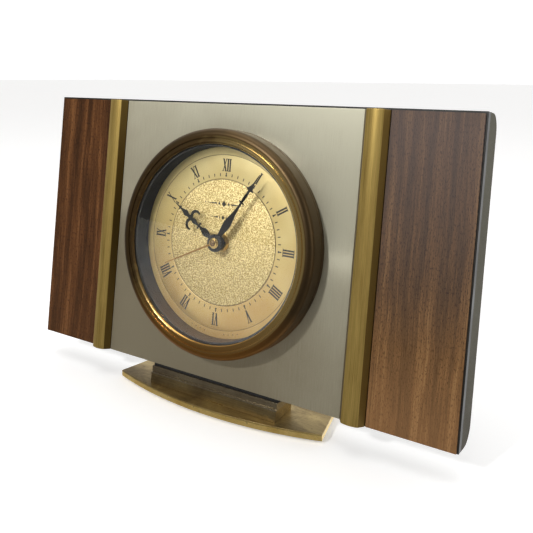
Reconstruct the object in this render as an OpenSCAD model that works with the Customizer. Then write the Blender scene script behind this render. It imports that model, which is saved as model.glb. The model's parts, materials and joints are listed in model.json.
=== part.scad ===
// Leaning mantel clock: a slim board face on a brass foot, with a battery quartz movement.
// The head is drawn upright with its front face at y = 0 and its lower edge at z = 0, then leaned
// back onto the foot. The row frame has its origin under the middle of the foot, +X to the right
// of a person facing the dial, +Y to the rear and +Z up.

/* [Case] */
// Width of the face board
face_w = 224; // [205:1:280]
// Height of the face board
face_h = 127; // [118:1:160]
// Thickness of the case from face to back
case_t = 15.8; // [15.6:0.1:20]
// Thickness of the black core board
board_t = 3.2; // [2.6:0.1:4]
// Thickness of the veneers and of the centre sheet
skin_t = 0.8; // [0.5:0.1:1.2]
// Black margin left along the top and the two ends
margin = 0.8; // [0.4:0.1:1.2]
// Width of the metal panel in the middle
centre_w = 127.8; // [122:0.2:136]
// Width of each brass strip
strip_w = 10.8; // [8:0.2:13]
// Height of each brass strip above the face
strip_rise = 5.5; // [3:0.1:7]
// Wall of the rear case
case_wall = 1.6; // [1.2:0.1:2.2]
// Radius of the rear case's upper and lower back edges
case_round = 7; // [4:0.5:9]

/* [Foot] */
// Angle that the head leans back
lean = 8; // [5:0.5:11]
// Width across the foot plate's front corners
foot_w = 112.6; // [90:0.2:140]
// Depth of the foot plate at its middle
foot_d = 52; // [46:1:64]
// Rise of the foot plate's bowed front edge
foot_bow = 8.7; // [5:0.1:12]
// Inward slope of the foot plate's ends
foot_taper = 0.21; // [0.1:0.01:0.3]
// Thickness of the foot plate
plate_t = 3; // [2.4:0.1:4]
// Thickness of the felt under the foot plate
felt_t = 0.8; // [0.5:0.1:1.2]
// Gap from foot plate to the head's lower front edge
riser_h = 9.3; // [8:0.1:12]
// Width of the riser bar
riser_w = 70; // [60:1:90]

/* [Dial] */
// Radius of the dial disc
dial_r = 44; // [43.9:0.1:52]
// Height of the dial's surface in front of the face
dial_rise = 1.2; // [0.8:0.1:3]
// Room between the dial and the inside of the glass edge
dial_room = 8; // [7.6:0.1:8.6]
// Dome height of the glass
dome = 1.5; // [1:0.1:3]
// Width of the bezel beyond the dial
bezel_w = 7.2; // [6.4:0.1:8]
// Length of the hour hand
hour_len = 29; // [22:0.5:36]
// Length of the minute hand
minute_len = 38.5; // [35:0.5:41]
// Length of the second hand
second_len = 29.4; // [22:0.2:41]
// Minutes shown past ten at rest
minutes = 5.5; // [0:0.1:59]
// Seconds shown at rest
seconds = 40.7; // [0:0.1:59.9]

/* [Movement] */
// Width and height of the movement case
mov_size = 56; // [54:0.5:58]
// Depth of the movement case
mov_d = 16.8; // [16.4:0.1:17.4]
// Height of the hand shaft below the movement's top
shaft_drop = 22.5; // [21.5:0.1:24]
// Radius of the cell
cell_r = 7.25; // [6.8:0.05:7.3]
// Length of the cell
cell_l = 50.4; // [48:0.1:50.6]
// Radial running clearance of the arbors and pipes
run = 0.05; // [0.02:0.01:0.09]

/* [Hidden] */
$fn = 96;
e = 0.02;

// Case layers, measured along y from the face
skin_y = skin_t;
board_y = skin_t + board_t;
case_in = case_t - case_wall;
axis_z = face_h / 2;
panel_h = face_h - margin;
gap = 0.2;
strip_x0 = centre_w / 2 + gap;
strip_x1 = strip_x0 + strip_w;
veneer_x0 = strip_x1 + gap;
veneer_x1 = face_w / 2 - margin;

// Head's place on the foot
head_y = -foot_d / 2 + foot_bow;
plate_top = felt_t + plate_t;
head_z = plate_top + riser_h;
packing_t = 1.3;
riser_y0 = -1.2;
riser_y1 = 12.8;
foot_screw_x = riser_w * 0.34;
foot_screw_y = head_y + 8.5;
foot_screw_r = 1.6;

// Dial insert, radii and heights in front of the face
dial_t = 0.5;
bush_out = 2.1;
pan_t = 0.8;
pan_r = dial_r + 0.3;
skirt_r = pan_r + 0.7;
bore_r = skirt_r + 0.6;
floor_f = dial_rise - dial_t - pan_t;
rim_f = dial_rise + dial_room - 0.4;
glass_f = dial_rise + dial_room;
glass_t = 1;
bezel_r = dial_r + bezel_w;
lug_r = bezel_r + 0.8;
lug_screw_r = (bore_r + lug_r) / 2;
lug_t = 0.8;
lug_angles = [90, 210, 330];

// Movement, along y and about the hand shaft
mov_y0 = -floor_f;
mov_y1 = mov_y0 + mov_d;
plate_w = 1.4;
mov_in0 = mov_y0 + plate_w;
cover_t = 1.2;
mov_in1 = mov_y1 - cover_t;
mov_top = shaft_drop;
mov_bottom = shaft_drop - mov_size;
mov_wall = 1.2;
cell_z = mov_bottom + mov_wall + cell_r + 1.05;
cell_y = mov_in0 + cell_r + 0.45;
divider_z = cell_z + cell_r + 0.35;

// Shaft and pipe radii
arbor_r = 0.5;
minute_bore = arbor_r + run;
minute_r = 1.3;
hour_bore = minute_r + run;
hour_r = 1.95;
bush_bore = hour_r + run;
bush_r = 2.9;
pivot_r = 0.35;
pivot_in = 0.7;

// Hand levels along y
washer_y = -dial_rise - 0.3;
nut_y = washer_y - 1.4;
bush_y = nut_y - bush_out;
hand_t = 0.3;
hour_y = bush_y - 0.3 - hand_t;
minute_y = hour_y - 0.7 - hand_t;
second_y = minute_y - 0.7 - hand_t;
cap_y = second_y - 1.1;

// Hand angles, clockwise from twelve
minute_angle = minutes * 6;
hour_angle = 300 + minutes / 2;
second_angle = seconds * 6;

// Modules of the going train and of the motion work's first pair
train_mod = 0.25;
motion_mod = 0.4;

// Tooth counts
rotor_t = 8;
inter_wheel_t = 40;
inter_pinion_t = 10;
seconds_wheel_t = 60;
seconds_pinion_t = 8;
third_wheel_t = 60;
third_pinion_t = 8;
centre_t = 64;
cannon_t = 12;
motion_wheel_t = 36;
motion_pinion_t = 10;
hour_t = 40;

// Arbor distances and directions
third_d = train_mod * (seconds_pinion_t + third_wheel_t) / 2;
centre_mod = 2 * third_d / (third_pinion_t + centre_t);
inter_d = train_mod * (inter_pinion_t + seconds_wheel_t) / 2;
rotor_d = train_mod * (rotor_t + inter_wheel_t) / 2;
motion_d = motion_mod * (cannon_t + motion_wheel_t) / 2;
hour_mod = 2 * motion_d / (motion_pinion_t + hour_t);
third_a = 200;
inter_a = 60;
motion_a = -30;
third_p = third_d * [cos(third_a), sin(third_a)];
inter_p = inter_d * [cos(inter_a), sin(inter_a)];
rotor_p = inter_p + rotor_d * [cos(inter_a), sin(inter_a)];
motion_p = motion_d * [cos(motion_a), sin(motion_a)];

// Wheel levels, each the front of its layer along y
hour_wheel_y = mov_in0 + 0.3;
motion_wheel_y = hour_wheel_y + 1.3;
centre_wheel_y = motion_wheel_y + 1.6;
inter_wheel_y = centre_wheel_y + 1.8;
third_wheel_y = inter_wheel_y + 1.4;
seconds_wheel_y = third_wheel_y + 2.4;
stator_y = seconds_wheel_y;
pcb_y = stator_y + 2.6;

// Coil
coil_z = mov_top - 5.9;
coil_y = stator_y - 0.4;
coil_x0 = -22;
coil_x1 = -4;
coil_r = 3.9;
stator_x0 = coil_x0 - 2.5;

// Screw posts inside the movement, and the posts under the circuit board
post_p = [[-24.4, -8], [24.4, 0], [24.4, mov_top - 3.9]];
pcb_post_p = [[20, -11], [20, 13]];
pcb_x0 = 12;
pcb_x1 = 22.4;
contact_x = cell_l / 2 + 0.3;

// ---- frames and shared shapes ----

module head() {
    translate([0, head_y, head_z]) rotate([-lean, 0, 0]) children();
}

module insert() {
    head() translate([0, 0, axis_z]) children();
}

// Extrudes a front-view outline from depth y0 to y1
module layer(y0, y1) {
    translate([0, y1, 0]) rotate([90, 0, 0]) linear_extrude(y1 - y0) children();
}

// Turns a section given as radius and height in front of the face
module turned() {
    rotate([90, 0, 0]) rotate_extrude() children();
}

// A round pin or bore along y
module pin(p, r, y0, y1) {
    translate([p[0], y1, p[1]]) rotate([90, 0, 0]) cylinder(h = y1 - y0, r = r);
}

module panel(x0, x1, y0, y1, z0, z1) {
    translate([x0, y0, z0]) cube([x1 - x0, y1 - y0, z1 - z0]);
}

module ring2(r0, r1) {
    difference() {
        circle(r1);
        circle(r0);
    }
}

module round_rect(x0, x1, z0, z1, r) {
    translate([x0 + r, z0]) square([x1 - x0 - 2 * r, z1 - z0]);
    translate([x0, z0 + r]) square([x1 - x0, z1 - z0 - 2 * r]);
    for (x = [x0 + r, x1 - r], z = [z0 + r, z1 - r]) translate([x, z]) circle(r);
}

// Gear outline with plain flanks; slim leaves the backlash
function gear_points(teeth, mod, slim = 0.8) = [
    for (i = [0:teeth - 1], k = [0:3])
        let (
            r = mod * (teeth / 2 + (k == 1 || k == 2 ? 0.85 : -1.15)),
            a = (i + slim * [-0.33, -0.13, 0.13, 0.33][k]) * 360 / teeth
        ) r * [cos(a), sin(a)]
];

// Wheel or pinion whose tooth, or gap when meshed is true, faces direction a
module gear(p, teeth, mod, a, meshed, y0, y1, bore = 0) {
    turn = meshed ? a + 180 + 180 / teeth : a;
    translate([p[0], 0, p[1]]) layer(y0, y1) difference() {
        rotate(turn) polygon(gear_points(teeth, mod));
        if (bore > 0) circle(bore, $fn = 48);
    }
}

// Spoke windows that lighten a wheel
module windows(p, r0, r1, count, y0, y1) {
    for (i = [0:count - 1])
        let (a = i * 360 / count, r = (r0 + r1) / 2)
            pin(p + r * [cos(a), sin(a)], (r1 - r0) / 2, y0 - e, y1 + e);
}

module screw(y_head, shank_r, head_r, head_h, length) {
    pin([0, 0], shank_r, y_head - length, y_head);
    difference() {
        pin([0, 0], head_r, y_head, y_head + head_h);
        panel(-head_r, head_r, y_head + head_h * 0.5, y_head + head_h + e, -0.35, 0.35);
    }
}

// ---- face ----

module front_board() {
    color("#15140f") head() difference() {
        panel(-face_w / 2, face_w / 2, skin_y, board_y, 0, face_h);
        translate([0, 0, axis_z]) pin([0, 0], bore_r, skin_y - e, board_y + e);
        for (a = lug_angles) translate([0, 0, axis_z])
            pin(lug_screw_r * [cos(a), sin(a)], 1.15, skin_y + 0.4, board_y + e);
    }
}

module veneer_left() {
    color("#7a4a2c") head() panel(-veneer_x1, -veneer_x0, 0, skin_y, 0, panel_h);
}

module veneer_right() {
    color("#7a4a2c") head() panel(veneer_x0, veneer_x1, 0, skin_y, 0, panel_h);
}

module centre_panel() {
    color("#9a9483") head() difference() {
        panel(-centre_w / 2, centre_w / 2, 0, skin_y, 0, panel_h);
        translate([0, 0, axis_z]) pin([0, 0], bore_r, -e, skin_y + e);
    }
}

// Bar with two fine lips and a gently bowed face between them
module strip_bar() {
    lip = 0.45;
    sag = 0.5;
    bow = (strip_w / 2 - lip) ^ 2 / (2 * sag) + sag / 2;
    linear_extrude(panel_h) {
        translate([0, -strip_rise + 0.6]) square([strip_w, strip_rise - 0.6 + skin_y]);
        for (x = [0, strip_w - lip]) translate([x, -strip_rise]) square([lip, 0.7]);
        intersection() {
            translate([lip, -strip_rise]) square([strip_w - 2 * lip, 1]);
            translate([strip_w / 2, -strip_rise + bow]) circle(bow, $fn = 360);
        }
    }
}

module strip_left() {
    color("#a8842f") head() translate([-strip_x1, 0, 0]) strip_bar();
}

module strip_right() {
    color("#a8842f") head() translate([strip_x0, 0, 0]) strip_bar();
}

// ---- rear case ----

// Side profile with rounded back edges, drawn as y against z and shrunk by inset
module case_profile(y0, inset) {
    r = case_round - inset;
    y1 = case_t - inset;
    intersection() {
        translate([y0, inset]) square([y1 - y0, face_h - 2 * inset]);
        union() {
            translate([y0 - 1, inset]) square([y1 - r - y0 + 1, face_h - 2 * inset]);
            translate([y0 - 1, inset + r]) square([y1 - y0 + 1, face_h - 2 * inset - 2 * r]);
            for (z = [inset + r, face_h - inset - r]) translate([y1 - r, z]) circle(r);
        }
    }
}

module along_x(width) {
    translate([-width / 2, 0, 0]) rotate([90, 0, 90]) linear_extrude(width) children();
}

module foot_holes(extra) {
    for (x = [-foot_screw_x, foot_screw_x])
        translate([x, foot_screw_y, 0]) cylinder(h = head_z + 14, r = foot_screw_r + extra);
}

case_screw_p = [for (x = [-1, 1], z = [14, face_h - 14]) [x * (face_w / 2 - 14), z]];

module rear_case() {
    color("#6d6c5b") difference() {
        head() difference() {
            along_x(face_w) case_profile(board_y, 0);
            along_x(face_w - 2 * case_wall) case_profile(board_y - 1, case_wall);
            translate([0, 0, axis_z]) layer(case_in - 1, case_t + 1)
                round_rect(-mov_size / 2 - 2, mov_size / 2 + 2, mov_bottom - 2, mov_top + 2, 4);
            for (p = case_screw_p) pin(p, 1.7, case_in - 1, case_t + 1);
        }
        foot_holes(0.15);
    }
}

module corner_blocks() {
    color("#b48a5c") head() for (p = case_screw_p) difference() {
        intersection() {
            panel(p[0] - 8, p[0] + 8, board_y, case_in, p[1] - 8, p[1] + 8);
            along_x(face_w - 2 * case_wall) case_profile(board_y, case_wall + 0.02);
        }
        pin(p, 1.55, case_in - 9, case_in + e);
    }
}

module base_block() {
    color("#b48a5c") difference() {
        head() intersection() {
            panel(-riser_w / 2 - 6, riser_w / 2 + 6, board_y, case_in - 0.6, case_wall + 0.05, 15);
            along_x(riser_w + 14) case_profile(board_y, case_wall + 0.05);
        }
        foot_holes(0.05);
    }
}

module case_screws() {
    color("#8c8c88") head() for (p = case_screw_p)
        translate([p[0], 0, p[1]]) screw(case_t, 1.5, 3, 1.6, 8);
}

// ---- dial insert ----

module dial_pan() {
    color("#8b8f8a") insert() difference() {
        union() {
            turned() {
                translate([bush_r, floor_f]) square([pan_r - bush_r + 0.1, pan_t]);
                translate([pan_r, -board_y - lug_t]) square([skirt_r - pan_r, rim_f + board_y + lug_t]);
            }
            intersection() {
                layer(board_y, board_y + lug_t) ring2(pan_r + 0.2, lug_r);
                for (a = lug_angles) rotate([0, -a, 0])
                    panel(pan_r, lug_r + 1, board_y, board_y + lug_t, -5, 5);
            }
        }
        pin([0, 0], bush_r + 0.05, mov_y0 - 3, mov_y0 + e);
        for (a = lug_angles)
            pin(lug_screw_r * [cos(a), sin(a)], 1.25, board_y - e, board_y + lug_t + e);
    }
}

module pan_screws() {
    color("#8c8c88") insert() for (a = lug_angles)
        translate([lug_screw_r * cos(a), 0, lug_screw_r * sin(a)])
            screw(board_y + lug_t, 1.1, 2.1, 1.2, board_t - 0.6 + lug_t);
}

module spacer_ring() {
    color("#101218") insert() turned()
        translate([dial_r - 0.8, dial_rise]) square([0.9, rim_f - dial_rise]);
}

module glass_gasket() {
    color("#111111") insert() turned()
        translate([dial_r - 0.8, rim_f]) square([skirt_r - dial_r + 0.8, glass_f - rim_f]);
}

module glass() {
    edge_r = skirt_r - 0.1;
    curve_r = (edge_r ^ 2 + dome ^ 2) / (2 * dome);
    color("#dfeaf0", 0.3) insert() turned() intersection() {
        translate([0, glass_f]) square([edge_r, glass_t + dome + 1]);
        difference() {
            translate([0, glass_f + glass_t + dome - curve_r]) circle(curve_r, $fn = 720);
            translate([0, glass_f + dome - curve_r]) circle(curve_r, $fn = 720);
        }
    }
}

// Spun ring: barrel, rolled front, fine groove and an inner lip over the glass edge
module bezel() {
    roll = 3;
    lip_f = glass_f + glass_t + 0.1;
    front = lip_f + 1.1;
    color("#7d5f24") insert() turned() difference() {
        union() {
            translate([skirt_r - 0.8, 0]) square([bezel_r - skirt_r + 0.8, front - roll]);
            translate([skirt_r - 0.8, 0]) square([bezel_r - roll - skirt_r + 0.8, front]);
            translate([bezel_r - roll, front - roll]) circle(roll);
        }
        translate([skirt_r - 1, -1]) square([1.3, lip_f + 1]);
        translate([skirt_r + 1.0, -1]) square([bezel_r - skirt_r - 2, front - roll]);
        translate([skirt_r + 1.5, front - 0.5]) square([0.45, 1]);
        polygon([
            [skirt_r - 1, lip_f + 0.5], [skirt_r + 1.2, front - 0.2],
            [skirt_r + 1.2, front + 1], [skirt_r - 1, front + 1]
        ]);
    }
}

module dial() {
    color("#c9a85c") insert() layer(-dial_rise, -dial_rise + dial_t) ring2(bush_r + 0.1, dial_r);
}

module dial_washer() {
    color("#b08f3c") insert() layer(washer_y, -dial_rise) ring2(bush_r + 0.1, 4.3);
}

module dial_nut() {
    color("#b08f3c") insert() layer(nut_y, washer_y) difference() {
        circle(4.3, $fn = 6);
        circle(bush_r + 0.05);
    }
}

// ---- hands ----

module hand_plate(angle, y0) {
    insert() layer(y0, y0 + hand_t) rotate(-angle) children();
}

// Both halves of a blade whose half widths are given at stations along its length
module blade(stations) {
    right = [for (s = stations) [s[1], s[0]]];
    left = [for (i = [len(stations) - 1:-1:0]) [-stations[i][1], stations[i][0]]];
    polygon(concat(right, left));
}

module cross_bar(at, half, thick) {
    translate([-half, at - thick / 2]) square([2 * half, thick]);
    for (x = [-half, half]) translate([x, at]) circle(thick * 0.62, $fn = 24);
}

module hour_hand() {
    s = hour_len / 29;
    color("#121212") hand_plate(hour_angle, hour_y) difference() {
        union() {
            circle(4);
            blade([[3, 0.9 * s], [5.6, 1.5 * s], [7.4, 1.65 * s], [9.4, 1.1 * s], [10.8 * s, 0.6]]);
            blade([[10 * s, 0.6], [14 * s, 0.7], [16 * s, 1.5], [18 * s, 1.5], [20 * s, 0.6]]);
            blade([[19 * s, 0.6], [21.2 * s, 1.15], [22.6 * s, 0.95], [24 * s, 0.45], [29 * s, 0.12]]);
            cross_bar(11.9 * s, 1.7, 0.9);
            cross_bar(25.2 * s, 0.9, 0.6);
            for (x = [-1, 1]) difference() {
                translate([x * 2.7, 16.6 * s]) circle(2.6);
                translate([x * 2.95, 15.7 * s]) circle(1.95);
            }
        }
        circle(hour_r + 0.02);
    }
}

module minute_hand() {
    s = minute_len / 38.5;
    color("#121212") hand_plate(minute_angle, minute_y) difference() {
        union() {
            circle(3.3);
            blade([[2.6, 1.0], [6, 1.35], [9, 1.8], [11.5, 1.9], [14.5, 1.5], [18 * s, 0.9], [22 * s, 0.55],
                [25 * s, 0.8], [28.5 * s, 0.7], [31 * s, 0.5], [38.5 * s, 0.14]]);
            cross_bar(23.3 * s, 1.5, 0.9);
            blade([[29.9 * s, 0.5], [30.6 * s, 2.1], [31.3 * s, 1.5], [34.2 * s, 0.35]]);
        }
        circle(minute_r + 0.02);
    }
}

module minute_collet() {
    color("#b08f3c") insert() layer(minute_y - 0.25, minute_y) ring2(minute_r + 0.02, 2.4);
}

module second_hand() {
    color("#b8963f") insert() {
        layer(second_y, second_y + hand_t) rotate(-second_angle) difference() {
            union() {
                circle(2);
                blade([[1, 0.42], [second_len * 0.7, 0.28], [second_len, 0.2]]);
            }
            circle(arbor_r + 0.02, $fn = 48);
        }
        layer(second_y - 0.4, second_y + e) ring2(arbor_r + 0.02, 1.6);
    }
}

module second_cap() {
    top = -cap_y;
    base = -second_y + 0.4;
    color("#1a1813") insert() turned() difference() {
        intersection() {
            translate([0, base]) square([1.35, top - base]);
            translate([0, top - 1.6]) circle(1.6);
        }
        translate([0, base - e]) square([arbor_r + 0.02, 0.3]);
    }
}

// ---- movement case ----

module movement_outline(inset) {
    round_rect(-mov_size / 2 + inset, mov_size / 2 - inset, mov_bottom + inset, mov_top - inset, 3 - inset);
}

module pivot_holes(y0, y1, extra) {
    for (p = [third_p, inter_p, rotor_p]) pin(p, pivot_r + extra, y0, y1);
}

module movement_front() {
    color("#26272a") insert() difference() {
        union() {
            layer(mov_y0, mov_in0) movement_outline(0);
            layer(mov_in0 - e, mov_y1) difference() {
                movement_outline(0);
                movement_outline(mov_wall);
            }
            panel(-mov_size / 2 + 0.6, mov_size / 2 - 0.6, mov_in0 - e, mov_in1,
                divider_z, divider_z + mov_wall);
            pin([0, 0], bush_r, bush_y, mov_y0 + e);
            for (p = post_p) pin(p, 1.8, mov_in0 - e, mov_in1);
            for (p = pcb_post_p) pin(p, 1.5, mov_in0 - e, pcb_y);
        }
        pin([0, 0], bush_bore, bush_y - e, mov_in0 + e);
        pivot_holes(mov_in0 - pivot_in - 0.1, mov_in0 + e, run);
        pin(motion_p, pivot_r + run, mov_in0 - pivot_in - 0.1, mov_in0 + e);
        for (p = post_p) pin(p, 0.85, mov_in1 - 7, mov_in1 + e);
        for (x = [-contact_x - 1, contact_x - 1])
            panel(x, x + 2, cell_y - 3.2, cell_y + 3.2, divider_z - e, divider_z + mov_wall + e);
        panel(-mov_size / 2 + mov_wall, mov_size / 2 - mov_wall, mov_in1, mov_y1 + e,
            divider_z - e, divider_z + mov_wall + 1);
    }
}

module movement_back() {
    in = mov_wall + 0.1;
    color("#26272a") insert() difference() {
        panel(-mov_size / 2 + in, mov_size / 2 - in, mov_in1, mov_y1, divider_z, mov_top - in);
        for (x = [-1, 1]) translate([x * (mov_size / 2 - in), 0, mov_top - in])
            rotate([0, 45, 0]) panel(-1.4, 1.4, mov_in1 - e, mov_y1 + e, -1.4, 1.4);
        pivot_holes(mov_in1 - e, mov_in1 + pivot_in + 0.1, run);
        pin([0, 0], arbor_r + run, mov_in1 - e, mov_in1 + pivot_in + 0.1);
        pin(motion_p, 0.6 + run, mov_in1 - e, mov_y1 + e);
        for (p = post_p) pin(p, 0.95, mov_in1 - e, mov_y1 + e);
    }
}

module movement_screws() {
    color("#8c8c88") insert() for (p = post_p)
        translate([p[0], 0, p[1]]) screw(mov_y1, 0.8, 1.6, 0.7, 6);
}

// ---- motion work ----

module hour_wheel() {
    color("#b08f3c") insert() {
        difference() {
            gear([0, 0], hour_t, hour_mod, motion_a, false, hour_wheel_y, hour_wheel_y + 0.8, hour_bore);
            windows([0, 0], 3.2, 6, 5, hour_wheel_y, hour_wheel_y + 0.8);
        }
        layer(hour_y - 0.1, hour_wheel_y + e) ring2(hour_bore, hour_r);
    }
}

module minute_pipe() {
    color("#b08f3c") insert() {
        gear([0, 0], cannon_t, motion_mod, motion_a, false, motion_wheel_y - 0.1, motion_wheel_y + 0.9,
            minute_bore);
        layer(minute_y - 0.3, motion_wheel_y) ring2(minute_bore, minute_r);
        layer(motion_wheel_y + 0.8, centre_wheel_y + 0.9) ring2(minute_bore, minute_r);
    }
}

module centre_wheel() {
    color("#b08f3c") insert() difference() {
        gear([0, 0], centre_t, centre_mod, third_a, false, centre_wheel_y, centre_wheel_y + 0.6,
            minute_r + 0.02);
        windows([0, 0], 2.4, 6, 4, centre_wheel_y, centre_wheel_y + 0.6);
    }
}

module motion_wheel() {
    color("#e6e2d6") insert() {
        gear(motion_p, motion_wheel_t, motion_mod, motion_a, true, motion_wheel_y, motion_wheel_y + 0.8);
        gear(motion_p, motion_pinion_t, hour_mod, motion_a, true, hour_wheel_y - 0.1, motion_wheel_y + e);
        pin(motion_p, pivot_r, mov_in0 - pivot_in, hour_wheel_y);
        pin(motion_p, 0.6, motion_wheel_y + 0.7, mov_y1 + 1.5);
    }
}

module set_knob() {
    color("#26272a") insert() difference() {
        union() {
            pin(motion_p, 4.2, mov_y1 + 0.4, mov_y1 + 2);
            for (i = [0:17]) let (a = i * 20)
                pin(motion_p + 4.1 * [cos(a), sin(a)], 0.35, mov_y1 + 0.4, mov_y1 + 2, $fn = 24);
        }
        pin(motion_p, 0.62, mov_y1, mov_y1 + 1.55);
    }
}

// ---- going train ----

module third_wheel() {
    color("#b08f3c") insert() {
        difference() {
            gear(third_p, third_wheel_t, train_mod, third_a, true, third_wheel_y, third_wheel_y + 0.6);
            windows(third_p, 2, 6, 4, third_wheel_y, third_wheel_y + 0.6);
        }
        gear(third_p, third_pinion_t, centre_mod, third_a, true, centre_wheel_y - 0.3, centre_wheel_y + 0.9);
        pin(third_p, pivot_r, mov_in0 - pivot_in, mov_in1 + pivot_in);
    }
}

module seconds_wheel() {
    color("#b08f3c") insert() {
        difference() {
            gear([0, 0], seconds_wheel_t, train_mod, inter_a, false, seconds_wheel_y, seconds_wheel_y + 0.6);
            windows([0, 0], 1.6, 5, 4, seconds_wheel_y, seconds_wheel_y + 0.6);
        }
        gear([0, 0], seconds_pinion_t, train_mod, third_a, false, third_wheel_y - 0.3, third_wheel_y + 0.9);
        pin([0, 0], arbor_r, second_y - 0.6, mov_in1 + pivot_in);
    }
}

module intermediate_wheel() {
    color("#e6e2d6") insert() {
        gear(inter_p, inter_wheel_t, train_mod, inter_a, false, inter_wheel_y, inter_wheel_y + 0.6);
        gear(inter_p, inter_pinion_t, train_mod, inter_a, true, seconds_wheel_y - 0.3, seconds_wheel_y + 0.9);
        pin(inter_p, pivot_r, mov_in0 - pivot_in, mov_in1 + pivot_in);
    }
}

module rotor_pinion() {
    color("#e6e2d6") insert() {
        gear(rotor_p, rotor_t, train_mod, inter_a, true, inter_wheel_y - 0.3, inter_wheel_y + 0.9);
        pin(rotor_p, pivot_r, mov_in0 - pivot_in, mov_in1 + pivot_in);
        pin(rotor_p, 0.8, inter_wheel_y + 0.85, stator_y - 0.8);
    }
}

module rotor_magnet() {
    color("#4a4c50") insert() translate([rotor_p[0], 0, rotor_p[1]])
        layer(stator_y - 0.8, stator_y + 1.6) ring2(pivot_r + 0.02, 3);
}

// ---- motor and electronics ----

module stator() {
    y1 = stator_y + 0.8;
    color("#9a9ca0") insert() difference() {
        union() {
            panel(stator_x0, rotor_p[0], stator_y, y1, 9.4, 11.8);
            panel(stator_x0, stator_x0 + 1.9, stator_y, y1, 9.4, coil_z + 1.4);
            panel(coil_x1 + 0.8, coil_x1 + 3.5, stator_y, y1, 9.4, coil_z + 1.4);
            pin(rotor_p, rotor_d - 2, stator_y, y1);
        }
        pin(rotor_p, 3.5, stator_y - e, y1 + e);
    }
}

module coil_core() {
    color("#9a9ca0") insert()
        panel(stator_x0, coil_x1 + 3.5, stator_y - 0.8, stator_y, coil_z - 1.2, coil_z + 1.2);
}

module coil_tube(x0, x1, r) {
    difference() {
        translate([x0, coil_y, coil_z]) rotate([0, 90, 0]) cylinder(h = x1 - x0, r = r);
        panel(x0 - e, x1 + e, stator_y - 0.82, stator_y + 0.02, coil_z - 1.22, coil_z + 1.22);
    }
}

module coil_bobbin() {
    color("#e6e2d6") insert() {
        coil_tube(coil_x0, coil_x0 + 0.8, 4.2);
        coil_tube(coil_x1 - 0.8, coil_x1, 4.2);
        coil_tube(coil_x0, coil_x1, 2);
    }
}

module coil_winding() {
    color("#a8562a") insert() translate([coil_x0 + 0.82, coil_y, coil_z]) rotate([0, 90, 0])
        difference() {
            cylinder(h = coil_x1 - coil_x0 - 1.64, r = coil_r);
            translate([0, 0, -e]) cylinder(h = coil_x1 - coil_x0, r = 2.02);
        }
}

module circuit_board() {
    color("#8a6a34") insert() panel(pcb_x0, pcb_x1, pcb_y, pcb_y + 1, -13, 15.2);
}

module chip() {
    color("#101010") insert() pin([17.4, 6], 2.9, pcb_y - 1.2, pcb_y);
}

module quartz_crystal() {
    color("#b8bbc0") insert() translate([15.2, pcb_y - 1.5, -9]) cylinder(h = 8, r = 1.4);
}

module contact_plus() {
    color("#b8bbc0") insert() {
        panel(contact_x, contact_x + 0.4, cell_y - 3, cell_y + 3, cell_z - 5, -11);
        panel(pcb_x1 - 0.7, contact_x + 0.4, pcb_y - 0.4, pcb_y, -13, -11);
        panel(contact_x, contact_x + 0.4, cell_y - 3, pcb_y, -13, -11);
    }
}

module contact_minus() {
    color("#b8bbc0") insert() {
        rail = divider_z + mov_wall + 0.2;
        panel(-contact_x - 0.4, -contact_x, cell_y - 3, cell_y + 3, cell_z - 5, rail + 0.4);
        panel(-contact_x - 0.4, pcb_x0 + 2, cell_y + 1, cell_y + 3, rail, rail + 0.4);
        panel(pcb_x0 + 1, pcb_x0 + 2, cell_y + 1, pcb_y, rail, -12);
    }
}

module battery() {
    color("#3a3d44") insert() translate([-cell_l / 2, cell_y, cell_z]) rotate([0, 90, 0]) {
        cylinder(h = cell_l - 1.2, r = cell_r);
        cylinder(h = cell_l, r = 2.6);
    }
}

// ---- foot ----

// A point given on the head's side view, as its y and z in the row frame
function on_head(y, z) = [
    head_y + y * cos(lean) + z * sin(lean),
    head_z - y * sin(lean) + z * cos(lean)
];

// Level on the head's side view at which a vertical run at depth y meets a height in the row
function drop_to(y, height) = (height - head_z + y * sin(lean)) / cos(lean);

module foot_outline(inset) {
    half = foot_w / 2;
    depth = foot_d - foot_bow;
    bow_r = (half ^ 2 + foot_bow ^ 2) / (2 * foot_bow);
    intersection() {
        translate([0, bow_r - foot_d / 2]) circle(bow_r - inset, $fn = 360);
        polygon([
            [-half + inset, -foot_d / 2],
            [half - inset, -foot_d / 2],
            [half - inset, head_y],
            [half - foot_taper * depth - inset, foot_d / 2 - inset],
            [-half + foot_taper * depth + inset, foot_d / 2 - inset],
            [-half + inset, head_y]
        ]);
    }
}

module foot_plate() {
    color("#b08a35") difference() {
        translate([0, 0, felt_t]) linear_extrude(plate_t) foot_outline(0);
        for (x = [-foot_screw_x, foot_screw_x]) translate([x, foot_screw_y, 0]) {
            cylinder(h = plate_top + 1, r = foot_screw_r + 0.1);
            translate([0, 0, felt_t - e]) cylinder(h = 1.7, r1 = 3.3, r2 = foot_screw_r + 0.1);
        }
    }
}

module riser_bar() {
    step = 0.5;
    top = -packing_t;
    mid = top - (riser_h - packing_t) * 0.36;
    color("#4a3a1c") difference() {
        translate([-riser_w / 2, 0, 0]) rotate([90, 0, 90]) linear_extrude(riser_w) difference() {
            polygon([
                on_head(riser_y0 + step, top), on_head(riser_y1, top),
                on_head(riser_y1, drop_to(riser_y1, plate_top)),
                on_head(riser_y0, drop_to(riser_y0, plate_top)),
                on_head(riser_y0, mid), on_head(riser_y0 + step, mid)
            ]);
            polygon([
                on_head(riser_y0 - 1, mid), on_head(riser_y0 + step + 0.5, mid),
                on_head(riser_y0 + step + 0.5, mid + 0.5), on_head(riser_y0 - 1, mid + 0.5)
            ]);
        }
        foot_holes(0.1);
    }
}

module riser_packing() {
    color("#0d0d0c") difference() {
        head() panel(-riser_w / 2 + 0.3, riser_w / 2 - 0.3, 0.3, riser_y1 - 0.4, -packing_t, 0);
        foot_holes(0.15);
    }
}

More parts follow.
